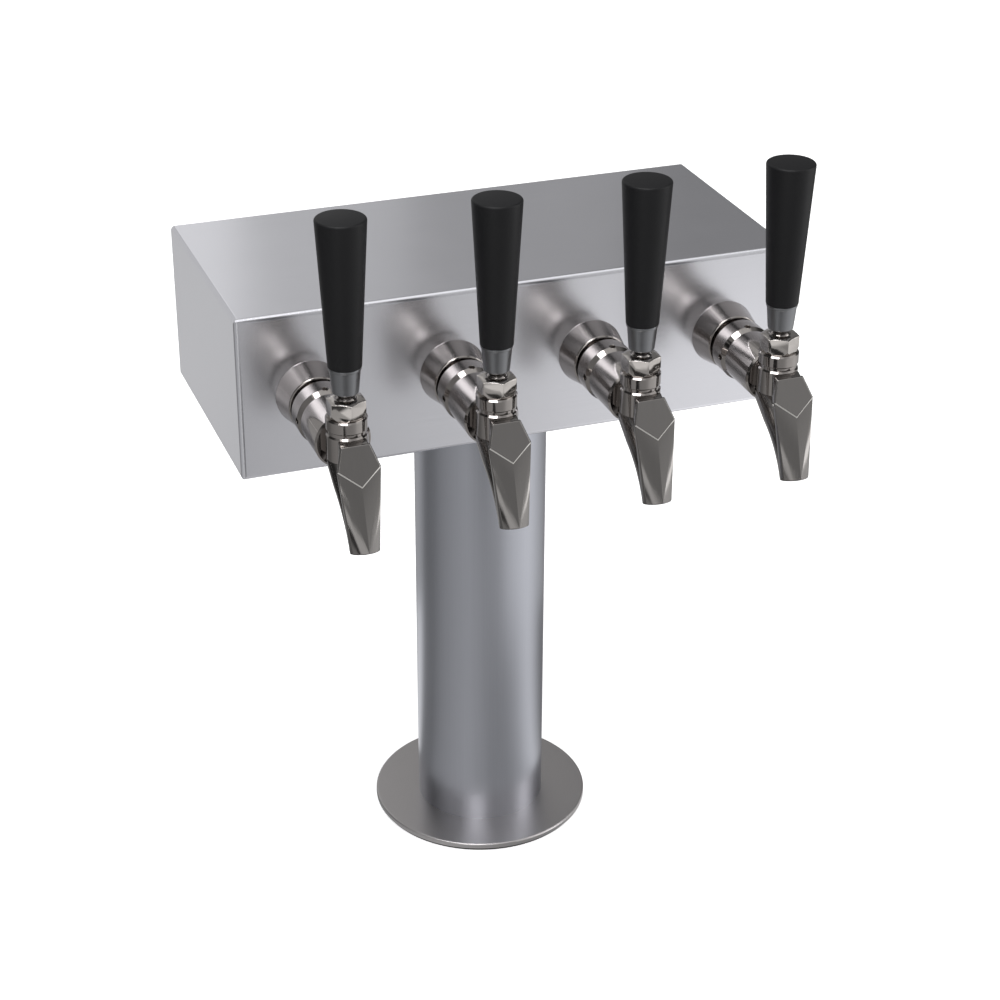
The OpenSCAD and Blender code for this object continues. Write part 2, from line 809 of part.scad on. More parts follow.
// Tap body: neck and tail flange in the coupling nut, a lying body and an upright barrel
module tap_body(n) {
    color("#bdbbb8")
        at_tap(n)
            difference() {
                union() {
                    out_rod(body_tail_at, nose_wall_at, shank_thread_r - slip);
                    out_rod(body_tail_at, body_at + over, neck_d / 2);
                    out_rod(body_at, body_out - 1, body_d / 2);
                    out_rod(body_out - 1, body_out, body_d / 2, body_d / 2 - 1);
                    translate([0, -tap_reach, -barrel_low])
                        cylinder(h = barrel_low + barrel_top, d = barrel_d);
                }
                out_rod(body_tail_at - over, seat_at, chamber_d / 2);
                out_rod(body_tail_at, passage_end, passage_d / 2);
                finger_room();
                translate([0, -tap_reach, barrel_top - spigot_h])
                    cylinder(h = spigot_h + over, r = spigot_d / 2 + slip);
                at_run()
                    translate([0, 0, -spigot_front])
                        cylinder(h = spigot_front + spigot_well, r = spout_spigot_d / 2 + slip);
            }
}

// Seat ring under the lever's ball
module lever_seats() {
    seat_r = ball_r - 0.7;
    seat_top = pivot_z - sqrt(pow(ball_r, 2) - pow(seat_r, 2)) - slip;
    bottom = barrel_top - spigot_h;
    color("#e8e6df")
        at_each_tap()
            translate([0, -tap_reach, bottom])
                ring(socket_r - slip, seat_r, seat_top - bottom);
}

// Six-sided bonnet that screws into the barrel and holds the lever's ball
module bonnet(n) {
    chamfer_low = 2.7;
    chamfer_top = 1;
    corner_r = bonnet_af / 2 / cos(30);
    rim_r = sqrt(pow(socket_r, 2) - pow(bonnet_top - pivot_z, 2)) + 1;
    color("#cfcecb")
        at_tap(n)
            translate([0, -tap_reach, 0])
                difference() {
                    union() {
                        intersection() {
                            translate([0, 0, barrel_top]) hex_rod(bonnet_af, bonnet_h);
                            union() {
                                translate([0, 0, barrel_top])
                                    cylinder(h = chamfer_low, r1 = corner_r - 1.1, r2 = corner_r);
                                translate([0, 0, barrel_top + chamfer_low])
                                    cylinder(h = bonnet_h - chamfer_low - chamfer_top, r = corner_r);
                                translate([0, 0, bonnet_top - chamfer_top])
                                    cylinder(h = chamfer_top, r1 = corner_r, r2 = rim_r);
                            }
                        }
                        translate([0, 0, barrel_top - spigot_h])
                            cylinder(h = spigot_h + over, d = spigot_d);
                    }
                    translate([0, 0, barrel_top - spigot_h - over])
                        cylinder(h = spigot_h + over + pivot_rise, r = socket_r);
                    translate([0, 0, pivot_z]) sphere(socket_r);
                }
}

// Shield at the front of the spout, as a thin bare plate in its own leaning plane
module shield_plate() {
    plate_t = 1.2;
    translate([0, -shield_out, shield_rise])
        rotate([90 - shield_lean, 0, 0])
            translate([0, 0, -plate_t])
                linear_extrude(plate_t)
                    polygon([[-shield_top_w / 2, 0], [shield_top_w / 2, 0], [shield_w / 2, -shield_side],
                        [0, -shield_len], [-shield_w / 2, -shield_side]]);
}

// The spout's path as a round solid: a run from its back end to its front end, then a bend.
// The run may start behind the body's face and the bend may go on past the outlet.
module spout_path(r_back, r_front, r_bend, back, past) {
    taper = (r_back - r_front) / run_len;
    past_turn = past / bend_r * 180 / PI;
    at_run()
        translate([0, 0, -run_len - path_lap])
            cylinder(h = run_len + path_lap + back, r1 = r_front - path_lap * taper, r2 = r_back + back * taper);
    translate([0, -bend_mid[0], bend_mid[1]])
        rotate([90, 0, -90])
            rotate([0, 0, spout_lean - past_turn])
                rotate_extrude(angle = bend_turn + past_turn + lap_turn, $fn = 128)
                    translate([bend_r, 0])
                        circle(r_bend);
}

// Spout: a bent tapering tube, its spigot in the body, and the shield's block on its front
module spout(n) {
    color("#a3a3a4")
        at_tap(n)
            difference() {
                union() {
                    difference() {
                        union() {
                            spout_path(spout_d / 2, spout_bend_d / 2, spout_bend_d / 2, 0, 0);
                            // Front blade from the shield down to the round end
                            hull() {
                                shield_plate();
                                translate([0, -tip_at[0], tip_at[1]])
                                    rotate([-spout_lean, 0, 0])
                                        translate([0, 0, blade_inset])
                                            cylinder(h = blade_inset, r = spout_bend_d / 2 - blade_inset, $fn = 32);
                            }
                            // Block between the shield and the barrel
                            hull() {
                                shield_plate();
                                translate([-shield_top_w / 2 + 0.5, -tap_reach - barrel_d / 2, -shield_rise])
                                    cube([shield_top_w - 1, 1, 2 * shield_rise]);
                            }
                        }
                        // The barrel stands in the spout's saddle, clear of it
                        translate([0, -tap_reach, -barrel_low - saddle_gap])
                            cylinder(h = barrel_low + saddle_gap + barrel_top, r = barrel_d / 2 + gap);
                        out_rod(body_out - 2 * body_d, body_out + slip, body_d);
                    }
                    at_run()
                        translate([0, 0, -spigot_front])
                            cylinder(h = spigot_front + spigot_back, d = spout_spigot_d);
                }
                spout_path(run_bore_r, run_bore_r, spout_bore / 2, spigot_back + over, over);
                out_rod(body_tail_at, passage_end + gap, passage_d / 2 + slip);
            }
}

// Shuttle: the valve's seal, stem and block, with a slot for the lever's finger
module shuttle(n) {
    block_at = tap_reach - shuttle_block_len / 2;
    slot_half = finger_r + 0.5;
    block_top = shuttle_block_d / 2 + over;
    flare = (block_top - finger_r) * tan(lever_open) + 0.1;
    color("#d2c28a")
        at_tap(n)
            difference() {
                union() {
                    out_rod(seat_at - seal_gap - seal_head_t, seat_at - seal_gap, seal_head_d / 2);
                    out_rod(seat_at - over, block_at + over, shuttle_stem_d / 2);
                    out_rod(block_at, block_at + shuttle_block_len, shuttle_block_d / 2);
                }
                translate([0, -tap_reach, 0])
                    rotate([90, 0, 90])
                        linear_extrude(2 * slot_half, center = true)
                            polygon([[slot_half, -slot_half], [slot_half, block_top], [-slot_half - flare, block_top],
                                [-slot_half, finger_r], [-slot_half, -slot_half]]);
            }
}

// Lever: ball, neck and stud above, finger below
module lever(n) {
    color("#c9c9cb")
        at_tap(n)
            translate([0, -tap_reach, 0]) {
                sphere(finger_r);
                cylinder(h = pivot_z, r = finger_r);
                translate([0, 0, pivot_z]) sphere(ball_r);
                translate([0, 0, pivot_z]) cylinder(h = ferrule_z - pivot_z, d = lever_neck_d);
                translate([0, 0, ferrule_z]) cylinder(h = stud_len, d = stud_d);
            }
}

// Metal ferrule under the handle
module ferrule(n) {
    edge = 0.6;
    color("#8f9195")
        at_tap(n)
            translate([0, -tap_reach, ferrule_z])
                difference() {
                    union() {
                        cylinder(h = edge, r1 = ferrule_low_d / 2 - edge, r2 = ferrule_low_d / 2);
                        translate([0, 0, edge])
                            cylinder(h = ferrule_h - edge, r1 = ferrule_low_d / 2, r2 = ferrule_top_d / 2);
                    }
                    translate([0, 0, -over])
                        cylinder(h = ferrule_h + 2 * over, r = stud_d / 2 + slip);
                }
}

// Black tapered handle with a rounded upper edge and a blind bore for the stud
module handle(n) {
    edge = 1.2;
    color("#1f1f21")
        at_tap(n)
            translate([0, -tap_reach, handle_z])
                difference() {
                    rotate_extrude()
                        union() {
                            polygon([[0, 0], [handle_low_d / 2, 0], [handle_top_d / 2, handle_h - edge],
                                [handle_top_d / 2 - edge, handle_h], [0, handle_h]]);
                            intersection() {
                                translate([handle_top_d / 2 - edge, handle_h - edge]) circle(edge);
                                square([handle_top_d, handle_h]);
                            }
                        }
                    translate([0, 0, -over])
                        cylinder(h = over + stud_len - ferrule_h + 0.5, r = stud_d / 2 + slip);
                }
}

gasket();
base_flange();
foot_plate();
column_tube();
column_foam();
top_ring();
top_ring_screws();
head_shell();
head_foam();
back_cover();
back_cover_screws();
shank(1);  // shank_1
shank(2);  // shank_2
shank(3);  // shank_3
shank(4);  // shank_4
shank_collars();
shank_washers();
shank_locknuts();
tail_nuts();
tail_pieces();
tap_washers();
lever_seats();
line_connectors();
beer_line(1);  // beer_line_1
beer_line(2);  // beer_line_2
beer_line(3);  // beer_line_3
beer_line(4);  // beer_line_4
coupling_nut(1);  // coupling_nut_1
coupling_nut(2);  // coupling_nut_2
coupling_nut(3);  // coupling_nut_3
coupling_nut(4);  // coupling_nut_4
tap_body(1);  // tap_body_1
tap_body(2);  // tap_body_2
tap_body(3);  // tap_body_3
tap_body(4);  // tap_body_4
bonnet(1);  // bonnet_1
bonnet(2);  // bonnet_2
bonnet(3);  // bonnet_3
bonnet(4);  // bonnet_4
spout(1);  // spout_1
spout(2);  // spout_2
spout(3);  // spout_3
spout(4);  // spout_4
shuttle(1);  // shuttle_1
shuttle(2);  // shuttle_2
shuttle(3);  // shuttle_3
shuttle(4);  // shuttle_4
lever(1);  // lever_1
lever(2);  // lever_2
lever(3);  // lever_3
lever(4);  // lever_4
ferrule(1);  // ferrule_1
ferrule(2);  // ferrule_2
ferrule(3);  // ferrule_3
ferrule(4);  // ferrule_4
handle(1);  // handle_1
handle(2);  // handle_2
handle(3);  // handle_3
handle(4);  // handle_4
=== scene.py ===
import math

import bmesh
import bpy
from mathutils import Matrix, Vector


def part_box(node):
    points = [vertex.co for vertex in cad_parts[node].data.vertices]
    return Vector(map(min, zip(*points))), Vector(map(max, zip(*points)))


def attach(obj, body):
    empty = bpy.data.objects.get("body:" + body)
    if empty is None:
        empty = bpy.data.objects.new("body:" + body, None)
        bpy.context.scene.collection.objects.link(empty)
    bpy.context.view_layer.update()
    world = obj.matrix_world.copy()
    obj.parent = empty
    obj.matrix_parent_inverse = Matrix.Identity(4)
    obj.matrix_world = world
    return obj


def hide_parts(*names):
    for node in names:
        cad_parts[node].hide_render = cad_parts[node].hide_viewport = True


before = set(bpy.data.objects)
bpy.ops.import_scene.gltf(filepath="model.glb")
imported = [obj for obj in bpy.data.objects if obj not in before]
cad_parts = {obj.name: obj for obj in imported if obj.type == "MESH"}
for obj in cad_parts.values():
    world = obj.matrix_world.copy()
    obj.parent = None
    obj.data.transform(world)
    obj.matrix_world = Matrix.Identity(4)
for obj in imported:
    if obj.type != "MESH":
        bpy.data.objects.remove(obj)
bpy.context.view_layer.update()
scene = bpy.context.scene
scene.view_settings.view_transform = "Standard"


# The camera.
# It stands to the left of the taps and looks down on the tower, as the photographer did.
camera_data = bpy.data.cameras.new("camera")
camera_data.lens = 81.71
camera_data.sensor_width = 36
camera_data.clip_start = 0.05
camera_data.clip_end = 60
camera = bpy.data.objects.new("camera", camera_data)
camera_place = (-0.3952, -1.1044, 0.8214)
camera_turn = [math.radians(a) for a in (-20.26, 62.26, 0.27)]
camera.matrix_world = (
    Matrix.Translation(camera_place)
    @ Matrix.Rotation(camera_turn[0], 4, "Z")
    @ Matrix.Rotation(camera_turn[1], 4, "X")
    @ Matrix.Rotation(camera_turn[2], 4, "Z")
)
scene.collection.objects.link(camera)
scene.camera = camera


# The studio.
# A white paper floor in a dark room with strip lights, and three softboxes. The room, the graded
# cards, the back cards and the black flag are there for the metal to mirror, and nothing else
# shows them.
def add(tree, kind, settings=None, **links):
    """Adds one node: settings are its properties and its sockets' values, links its inputs.

    A link is named after its socket, with _ for a space, or i and the socket's number.
    """
    node = tree.nodes.new(kind)
    for key, value in (settings or {}).items():
        if isinstance(key, int) or key in node.inputs:
            node.inputs[key].default_value = value
        else:
            setattr(node, key, value)
    for key, source in links.items():
        numbered = key[0] == "i" and key[1:].isdigit()
        socket = node.inputs[int(key[1:]) if numbered else key.replace("_", " ")]
        tree.links.new(source, socket)
    return node


def shade(hex_value):
    """The linear colour of an sRGB hex value."""
    parts = [int(hex_value[i:i + 2], 16) / 255 for i in (1, 3, 5)]
    return (*[c / 12.92 if c <= 0.04045 else ((c + 0.055) / 1.055) ** 2.4 for c in parts], 1)


def new_material(name):
    """A material with an empty node tree, and that tree."""
    material = bpy.data.materials.new(name)
    material.use_nodes = True
    material.node_tree.nodes.clear()
    return material, material.node_tree


def greys_round_about(tree, coordinate, stops):
    """A grey that changes with the azimuth, which the stops give in degrees."""
    turn = add(tree, "ShaderNodeTexGradient", {"gradient_type": "RADIAL"},
               Vector=add(tree, "ShaderNodeTexCoord").outputs[coordinate])
    ramp = add(tree, "ShaderNodeValToRGB", Fac=turn.outputs["Fac"])
    elements = ramp.color_ramp.elements
    while len(elements) < len(stops):
        elements.new(0.5)
    for element, (azimuth, grey) in zip(elements, stops):
        element.position = (azimuth + 180) / 360
        element.color = (grey, grey, grey, 1)
    return ramp.outputs["Color"]


world = bpy.data.worlds.new("room")
scene.world = world
world.use_nodes = True
world.node_tree.nodes.clear()
tree = world.node_tree
strips_and_flags = [(-180, 0.3), (-154, 0.3), (-148, 0.05), (-141, 0.05), (-136, 0.95),
                    (-124, 0.95), (-115, 0.34), (-78, 0.34), (-62, 0.5), (-38, 0.6), (-30, 0.9),
                    (0, 0.9), (12, 0.06), (50, 0.2), (84, 0.2), (96, 0.5), (128, 0.5),
                    (138, 0.05), (162, 0.05), (180, 0.3)]
up = add(tree, "ShaderNodeSeparateXYZ", i0=add(tree, "ShaderNodeTexCoord").outputs["Generated"])
ceiling = add(tree, "ShaderNodeMapRange", {"From Min": 0.82, "From Max": 0.9, "To Max": 0.85},
              Value=up.outputs["Z"])
sky = add(tree, "ShaderNodeMix", {"data_type": "RGBA", "blend_type": "LIGHTEN", 0: 1.0},
          i6=greys_round_about(tree, "Generated", strips_and_flags), i7=ceiling.outputs[0])
rays = add(tree, "ShaderNodeLightPath").outputs
straight = add(tree, "ShaderNodeMath", {"operation": "MAXIMUM"},
               i0=rays["Is Camera Ray"], i1=rays["Is Transmission Ray"])
# Straight on, the backdrop is white like the paper; the metal mirrors the strips and flags.
behind = add(tree, "ShaderNodeMix", {"data_type": "RGBA", 7: (1, 1, 1, 1)},
             i0=straight.outputs[0], i6=sky.outputs[2])
backdrop = add(tree, "ShaderNodeBackground", {"Strength": 1.0}, Color=behind.outputs[2])
add(tree, "ShaderNodeOutputWorld", Surface=backdrop.outputs[0])


def flat_sheet(name, corners, material):
    """A staged sheet of one face."""
    mesh = bpy.data.meshes.new(name)
    mesh.from_pydata(corners, [], [tuple(range(len(corners)))])
    mesh.materials.append(material)
    sheet = bpy.data.objects.new(name, mesh)
    scene.collection.objects.link(sheet)
    return sheet


floor_glow = 0.72
floor_reach = 8.0
# Even white paper that runs on into the backdrop without an edge.
paper, tree = new_material("white_paper_floor")
seen = add(tree, "ShaderNodeLightPath").outputs
glossy = add(tree, "ShaderNodeMath", {"operation": "MAXIMUM"},
             i0=seen["Is Camera Ray"], i1=seen["Is Glossy Ray"])
direct = add(tree, "ShaderNodeMath", {"operation": "MAXIMUM"},
             i0=glossy.outputs[0], i1=seen["Is Transmission Ray"])
glow = add(tree, "ShaderNodeMath", {"operation": "MULTIPLY", 1: floor_glow}, i0=direct.outputs[0])
lit = add(tree, "ShaderNodeEmission", {"Color": (1, 1, 1, 1)}, Strength=glow.outputs[0])
matt = add(tree, "ShaderNodeBsdfDiffuse", {"Color": shade("#f2f2f2")})
both = add(tree, "ShaderNodeAddShader", i0=matt.outputs[0], i1=lit.outputs[0])
add(tree, "ShaderNodeOutputMaterial", Surface=both.outputs[0])
quarters = ((-1, -1), (1, -1), (1, 1), (-1, 1))
flat_sheet("floor", [(floor_reach * x, floor_reach * y, 0) for x, y in quarters], paper)


def hide_but_mirror(sheet):
    """Leaves a sheet to reflections alone."""
    sheet.visible_camera = False
    sheet.visible_diffuse = False
    sheet.visible_shadow = False


def card(name, tone, corners):
    """A sheet of one grey that only reflections show."""
    material, tree = new_material(name)
    glow = add(tree, "ShaderNodeEmission", {"Color": (tone, tone, tone, 1), "Strength": 1.0})
    add(tree, "ShaderNodeOutputMaterial", Surface=glow.outputs[0])
    hide_but_mirror(flat_sheet(name, corners, material))


def upright(azimuths, distance, heights):
    """Corners of a card that stands across two azimuths as seen from the column."""
    left, right = [(distance * math.cos(math.radians(a)), distance * math.sin(math.radians(a)))
                   for a in azimuths]
    bottom, top = heights
    return [(*left, bottom), (*right, bottom), (*right, top), (*left, top)]


# The graded cards lie on the floor round the foot, the smallest for the column's lower part.
near_greys = [(-180, 0.33), (-158, 0.41), (-129, 0.48), (-102, 0.42), (-85, 0.43), (-74, 0.5),
              (-60, 0.74), (-43, 0.82), (-19, 0.97), (5, 0.66), (36, 0.3), (70, 0.4), (100, 0.44),
              (113, 0.54), (130, 0.44), (143, 0.18), (165, 0.22), (180, 0.33)]
foot_greys = [(-180, 0.33), (-158, 0.41), (-129, 0.49), (-116, 0.44), (-105, 0.39), (-94, 0.33),
              (-72, 0.33), (-60, 0.38), (-47, 0.5), (-33, 0.72), (-17, 0.88), (-4, 0.6), (18, 0.2),
              (36, 0.18), (70, 0.4), (100, 0.6), (113, 1.0), (124, 1.0), (140, 0.25), (165, 0.22),
              (180, 0.33)]
card_corners = 48
for name, stops, radius, lift in (("far_floor_card", strips_and_flags, floor_reach, 0.0004),
                                  ("near_floor_card", near_greys, 1.1, 0.0008),
                                  ("foot_floor_card", foot_greys, 0.26, 0.0012)):
    graded, tree = new_material(name)
    glow = add(tree, "ShaderNodeEmission", {"Strength": 1.0},
               Color=greys_round_about(tree, "Object", stops))
    add(tree, "ShaderNodeOutputMaterial", Surface=glow.outputs[0])
    turns = [math.tau * k / card_corners for k in range(card_corners)]
    outline = [(radius * math.cos(t), radius * math.sin(t), lift) for t in turns]
    hide_but_mirror(flat_sheet(name, outline, graded))
# The back cards stand behind the tower, where the head's top mirrors them.
back_distance, back_heights = 0.82, (0.3, 1.5)
for name, tone, azimuths in (("white_back_card", 0.7, (86, 100)),
                             ("grey_back_card", 0.44, (75, 86)),
                             ("dark_back_card", 0.3, (60, 75))):
    card(name, tone, upright(azimuths, back_distance, back_heights))
# The black flag lies on the floor in front and darkens what the taps' undersides mirror.
flag_left, flag_right, flag_front, flag_back, flag_lift = -0.5, -0.06, -0.78, -0.56, 0.001
card("black_flag", 0.03, [(flag_left, flag_front, flag_lift), (flag_right, flag_front, flag_lift),
                          (flag_right, flag_back, flag_lift), (flag_left, flag_back, flag_lift)])


def softbox(name, place, target, width, height, watts):
    """A rectangular lamp that faces a point and isn't seen itself."""
    light = bpy.data.lights.new(name, "AREA")
    light.shape = "RECTANGLE"
    light.size, light.size_y, light.energy = width, height, watts
    lamp = bpy.data.objects.new(name, light)
    lamp.location = place
    lamp.rotation_euler = (Vector(target) - Vector(place)).to_track_quat("-Z", "Y").to_euler()
    lamp.visible_camera = False
    scene.collection.objects.link(lamp)


aim = (0, 0, 0.3)
softbox("softbox_above", (-0.5, -0.5, 2.0), aim, 1.0, 0.7, 19)
softbox("softbox_right", (1.7, -0.7, 0.7), aim, 0.7, 1.4, 5)
softbox("softbox_front", (-0.75, -1.75, 1.25), aim, 0.7, 0.7, 4)


# Foot: rubber gasket, flange, tapped plate.
# The flange is turned from stainless plate and polished, so it mirrors the foot of the column.
# A black rubber gasket under it keeps the counter dry, and the bolts screw into a steel plate.
def pattern_coords(tree, scale):
    """Object coordinates times a scale on each axis, in waves per metre."""
    where = add(tree, "ShaderNodeTexCoord")
    scaled = add(tree, "ShaderNodeMapping", {"Scale": scale}, Vector=where.outputs["Object"])
    return scaled.outputs[0]


def varied(tree, colour, change, source):
    """A colour that gets a little lighter and darker with a pattern."""
    tone = add(tree, "ShaderNodeMapRange", {"To Min": 1 - change, "To Max": 1 + change},
               Value=source)
    mix = add(tree, "ShaderNodeMix",
              {"data_type": "RGBA", "blend_type": "MULTIPLY", 0: 1.0, 6: shade(colour)},
              i7=tone.outputs[0])
    return mix.outputs[2]


# Metal has smudges between its marks, and plastic has patches: their number per metre comes
# first, and the shift is how far they change the colour.
smudge_grain, smudge_share, smudge_shift = (28, 28, 28), 0.35, 0.06
patch_grain, patch_spread, patch_shift = (40, 40, 40), 0.06, 0.08


def metal(name, colour, roughness, spread, grain, depth):
    """Bare metal: grain is the number of finishing marks per metre along each axis, depth in mm."""
    material, tree = new_material(name)
    marks = add(tree, "ShaderNodeTexNoise", {"Scale": 1.0, "Detail": 3.0, "Roughness": 0.6},
                Vector=pattern_coords(tree, grain))
    smudge = add(tree, "ShaderNodeTexNoise", {"Scale": 1.0, "Detail": 2.0},
                 Vector=pattern_coords(tree, smudge_grain))
    mixed = add(tree, "ShaderNodeMix", {0: smudge_share},
                i2=marks.outputs["Fac"], i3=smudge.outputs["Fac"])
    rough = add(tree, "ShaderNodeMapRange",
                {"To Min": roughness - spread, "To Max": roughness + spread},
                Value=mixed.outputs[0])
    relief = add(tree, "ShaderNodeBump", {"Strength": 0.25, "Distance": depth / 1000},
                 Height=marks.outputs["Fac"])
    surface = add(tree, "ShaderNodeBsdfPrincipled", {"Metallic": 1.0},
                  Base_Color=varied(tree, colour, smudge_shift, mixed.outputs[0]),
                  Roughness=rough.outputs[0], Normal=relief.outputs[0])
    add(tree, "ShaderNodeOutputMaterial", Surface=surface.outputs[0])
    return material


def plastic(name, colour, roughness, grain, depth, gloss=0.5):
    """Plastic, rubber or foam: grain is the number of pits or pores per metre, depth in mm."""
    material, tree = new_material(name)
    pits = add(tree, "ShaderNodeTexNoise", {"Scale": 1.0, "Detail": 2.0},
               Vector=pattern_coords(tree, [grain] * 3))
    patches = add(tree, "ShaderNodeTexNoise", {"Scale": 1.0, "Detail": 2.0},
                  Vector=pattern_coords(tree, patch_grain))
    rough = add(tree, "ShaderNodeMapRange",
                {"To Min": roughness - patch_spread, "To Max": roughness + patch_spread},
                Value=patches.outputs["Fac"])
    relief = add(tree, "ShaderNodeBump", {"Strength": 0.3, "Distance": depth / 1000},
                 Height=pits.outputs["Fac"])
    surface = add(tree, "ShaderNodeBsdfPrincipled", {"Specular IOR Level": gloss},
                  Base_Color=varied(tree, colour, patch_shift, patches.outputs["Fac"]),
                  Roughness=rough.outputs[0], Normal=relief.outputs[0])
    add(tree, "ShaderNodeOutputMaterial", Surface=surface.outputs[0])
    return material


def dress(material, *nodes):
    """Gives carried-over CAD nodes their material."""
    for node in nodes:
        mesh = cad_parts[node].data
        mesh.materials.clear()
        mesh.materials.append(material)


# Matt black, with a fine moulded grain.
black_rubber = plastic("black_moulded_rubber", "#232324", 0.7, 900, 0.05)
# A soft even mirror that shows the foot of the column as a blur.
polished_plate = metal("polished_stainless_plate", "#c6c3c3", 0.36, 0.02, (1500, 1500, 1500), 0.003)
# Dull grey, as it comes from the saw.
mild_steel = metal("sawn_steel_plate", "#8d8f92", 0.42, 0.08, (300, 300, 300), 0.03)
dress(black_rubber, "gasket", "tap_washers")
dress(polished_plate, "base_flange")
dress(mild_steel, "foot_plate")


# Column: stainless tube, satin ground along its length.
# The foot plate and the top ring are welded inside it, and a foam sleeve keeps the lines cold.
# Fine upright scratches spread the room's strips to soft bands of light and dark.
satin_tube = metal("satin_ground_stainless_tube", "#bdbfc7", 0.3, 0.03, (1200, 1200, 10), 0.01)
dress(satin_tube, "column_tube")
dress(mild_steel, "top_ring")
# Cream and dull, with open pores where it was cut.
cream_foam = plastic("cream_closed_cell_foam", "#d9d0b8", 0.85, 700, 0.4, gloss=0.2)
dress(cream_foam, "column_foam", "head_foam")


# Head: box folded from satin stainless sheet, ground along its width.
# The back cover lies inside a lip and is held by eight screws.
# A pale silky sheen with fine lines along the width, in which the taps show as blurs.
satin_sheet = metal("satin_ground_stainless_sheet", "#f4f4fa", 0.22, 0.05, (14, 1200, 1200), 0.02)
dress(satin_sheet, "head_shell", "back_cover")
# Bright and plain, as cold-headed.
screw_steel = metal("plain_steel_screw", "#b9babd", 0.25, 0.05, (400, 400, 400), 0.01)
dress(screw_steel, "top_ring_screws")


# Back cover's screws: eight stainless pan heads with a hexagon socket, in two rows of four.
# They hold the cover against the lip, so the head can be opened to reach the taps' shanks.
def round_edges(piece, edge):
    """A live bevel on a piece's sharp edges, edge in mm."""
    rounding = piece.modifiers.new("rounded_edges", "BEVEL")
    rounding.width = edge / 1000
    rounding.segments = 2
    rounding.limit_method = "ANGLE"
    rounding.angle_limit = math.radians(25)
    rounding.harden_normals = True


def finish_piece(name, mesh, materials, nodes, body="tower", edge=0.3):
    """Makes a mesh or bmesh a piece with rounded edges, in place of CAD nodes."""
    if isinstance(mesh, bmesh.types.BMesh):
        form, mesh = mesh, bpy.data.meshes.new(name)
        bmesh.ops.recalc_face_normals(form, faces=form.faces)
        form.to_mesh(mesh)
        form.free()
    mesh.shade_smooth()
    if mesh.materials:
        mesh.materials.clear()
    for material in materials:
        mesh.materials.append(material)
    piece = bpy.data.objects.new(name, mesh)
    scene.collection.objects.link(piece)
    round_edges(piece, edge)
    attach(piece, body)
    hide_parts(*nodes)
    return piece


rows = bpy.data.node_groups.new("rows_of_pan_screws", "GeometryNodeTree")
sizes = {"Row Length": 0.2947, "Row Distance": 0.0732, "Head Radius": 0.004, "Head Height": 0.0024,
         "Socket Radius": 0.00125, "Socket Depth": 0.0013, "Shank Radius": 0.002,
         "Shank Length": 0.008}
# A head is narrower on top, and a shank begins just inside its head.
top_share, sink_share = 0.8, -0.49
for label in sizes:
    rows.interface.new_socket(label, in_out="INPUT", socket_type="NodeSocketFloat")
rows.interface.new_socket("Middle", in_out="INPUT", socket_type="NodeSocketVector")
rows.interface.new_socket("Steel", in_out="INPUT", socket_type="NodeSocketMaterial")
rows.interface.new_socket("Screws", in_out="OUTPUT", socket_type="NodeSocketGeometry")
given = add(rows, "NodeGroupInput").outputs
places = add(rows, "GeometryNodeMeshGrid", {"Vertices X": 4, "Vertices Y": 2},
             Size_X=given["Row Length"], Size_Y=given["Row Distance"])
flare = add(rows, "ShaderNodeMath", {"operation": "MULTIPLY", 1: top_share},
            i0=given["Head Radius"])
pan = add(rows, "GeometryNodeMeshCone", {"Vertices": 32}, Radius_Bottom=given["Head Radius"],
          Radius_Top=flare.outputs[0], Depth=given["Head Height"])
key = add(rows, "GeometryNodeMeshCylinder", {"Vertices": 6},
          Radius=given["Socket Radius"], Depth=given["Socket Depth"])
key_place = add(rows, "ShaderNodeCombineXYZ", Z=given["Head Height"])
key_set = add(rows, "GeometryNodeTransform",
              Geometry=key.outputs["Mesh"], Translation=key_place.outputs[0])
head = add(rows, "GeometryNodeMeshBoolean", {"operation": "DIFFERENCE"},
           i0=pan.outputs["Mesh"], i1=key_set.outputs[0])
shank = add(rows, "GeometryNodeMeshCylinder", {"Vertices": 16},
            Radius=given["Shank Radius"], Depth=given["Shank Length"])
drop = add(rows, "ShaderNodeMath", {"operation": "MULTIPLY", 1: sink_share},
           i0=given["Shank Length"])
shank_place = add(rows, "ShaderNodeCombineXYZ", Z=drop.outputs[0])
shank_set = add(rows, "GeometryNodeTransform",
                Geometry=shank.outputs["Mesh"], Translation=shank_place.outputs[0])
screw = add(rows, "GeometryNodeJoinGeometry")
rows.links.new(head.outputs["Mesh"], screw.inputs[0])
rows.links.new(shank_set.outputs[0], screw.inputs[0])
spread_out = add(rows, "GeometryNodeInstanceOnPoints",
                 Points=places.outputs["Mesh"], Instance=screw.outputs[0])
turned = add(rows, "GeometryNodeTransform", {"Rotation": (-math.pi / 2, 0, 0)},
             Geometry=spread_out.outputs[0], Translation=given["Middle"])
real = add(rows, "GeometryNodeRealizeInstances", Geometry=turned.outputs[0])
coated = add(rows, "GeometryNodeSetMaterial", Geometry=real.outputs[0], Material=given["Steel"])
add(rows, "NodeGroupOutput", i0=coated.outputs[0])

head_low, head_high = (Vector(corner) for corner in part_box("head_shell"))
head_middle = (head_low + head_high) / 2
maker = bpy.data.objects.new("screw_maker", bpy.data.meshes.new("screw_maker"))
scene.collection.objects.link(maker)
nodes = maker.modifiers.new("rows", "NODES")
nodes.node_group = rows
asked = {**sizes, "Middle": (head_middle.x, head_high.y, head_middle.z), "Steel": screw_steel}
for item in rows.interface.items_tree:
    if item.in_out == "INPUT":
        nodes[item.identifier] = asked[item.name]
made = maker.evaluated_get(bpy.context.evaluated_depsgraph_get())
screw_mesh = bpy.data.meshes.new_from_object(made)
bpy.data.objects.remove(maker)
finish_piece("pan_head_screws", screw_mesh, [screw_steel], ["back_cover_screws"],
             edge=0.2)


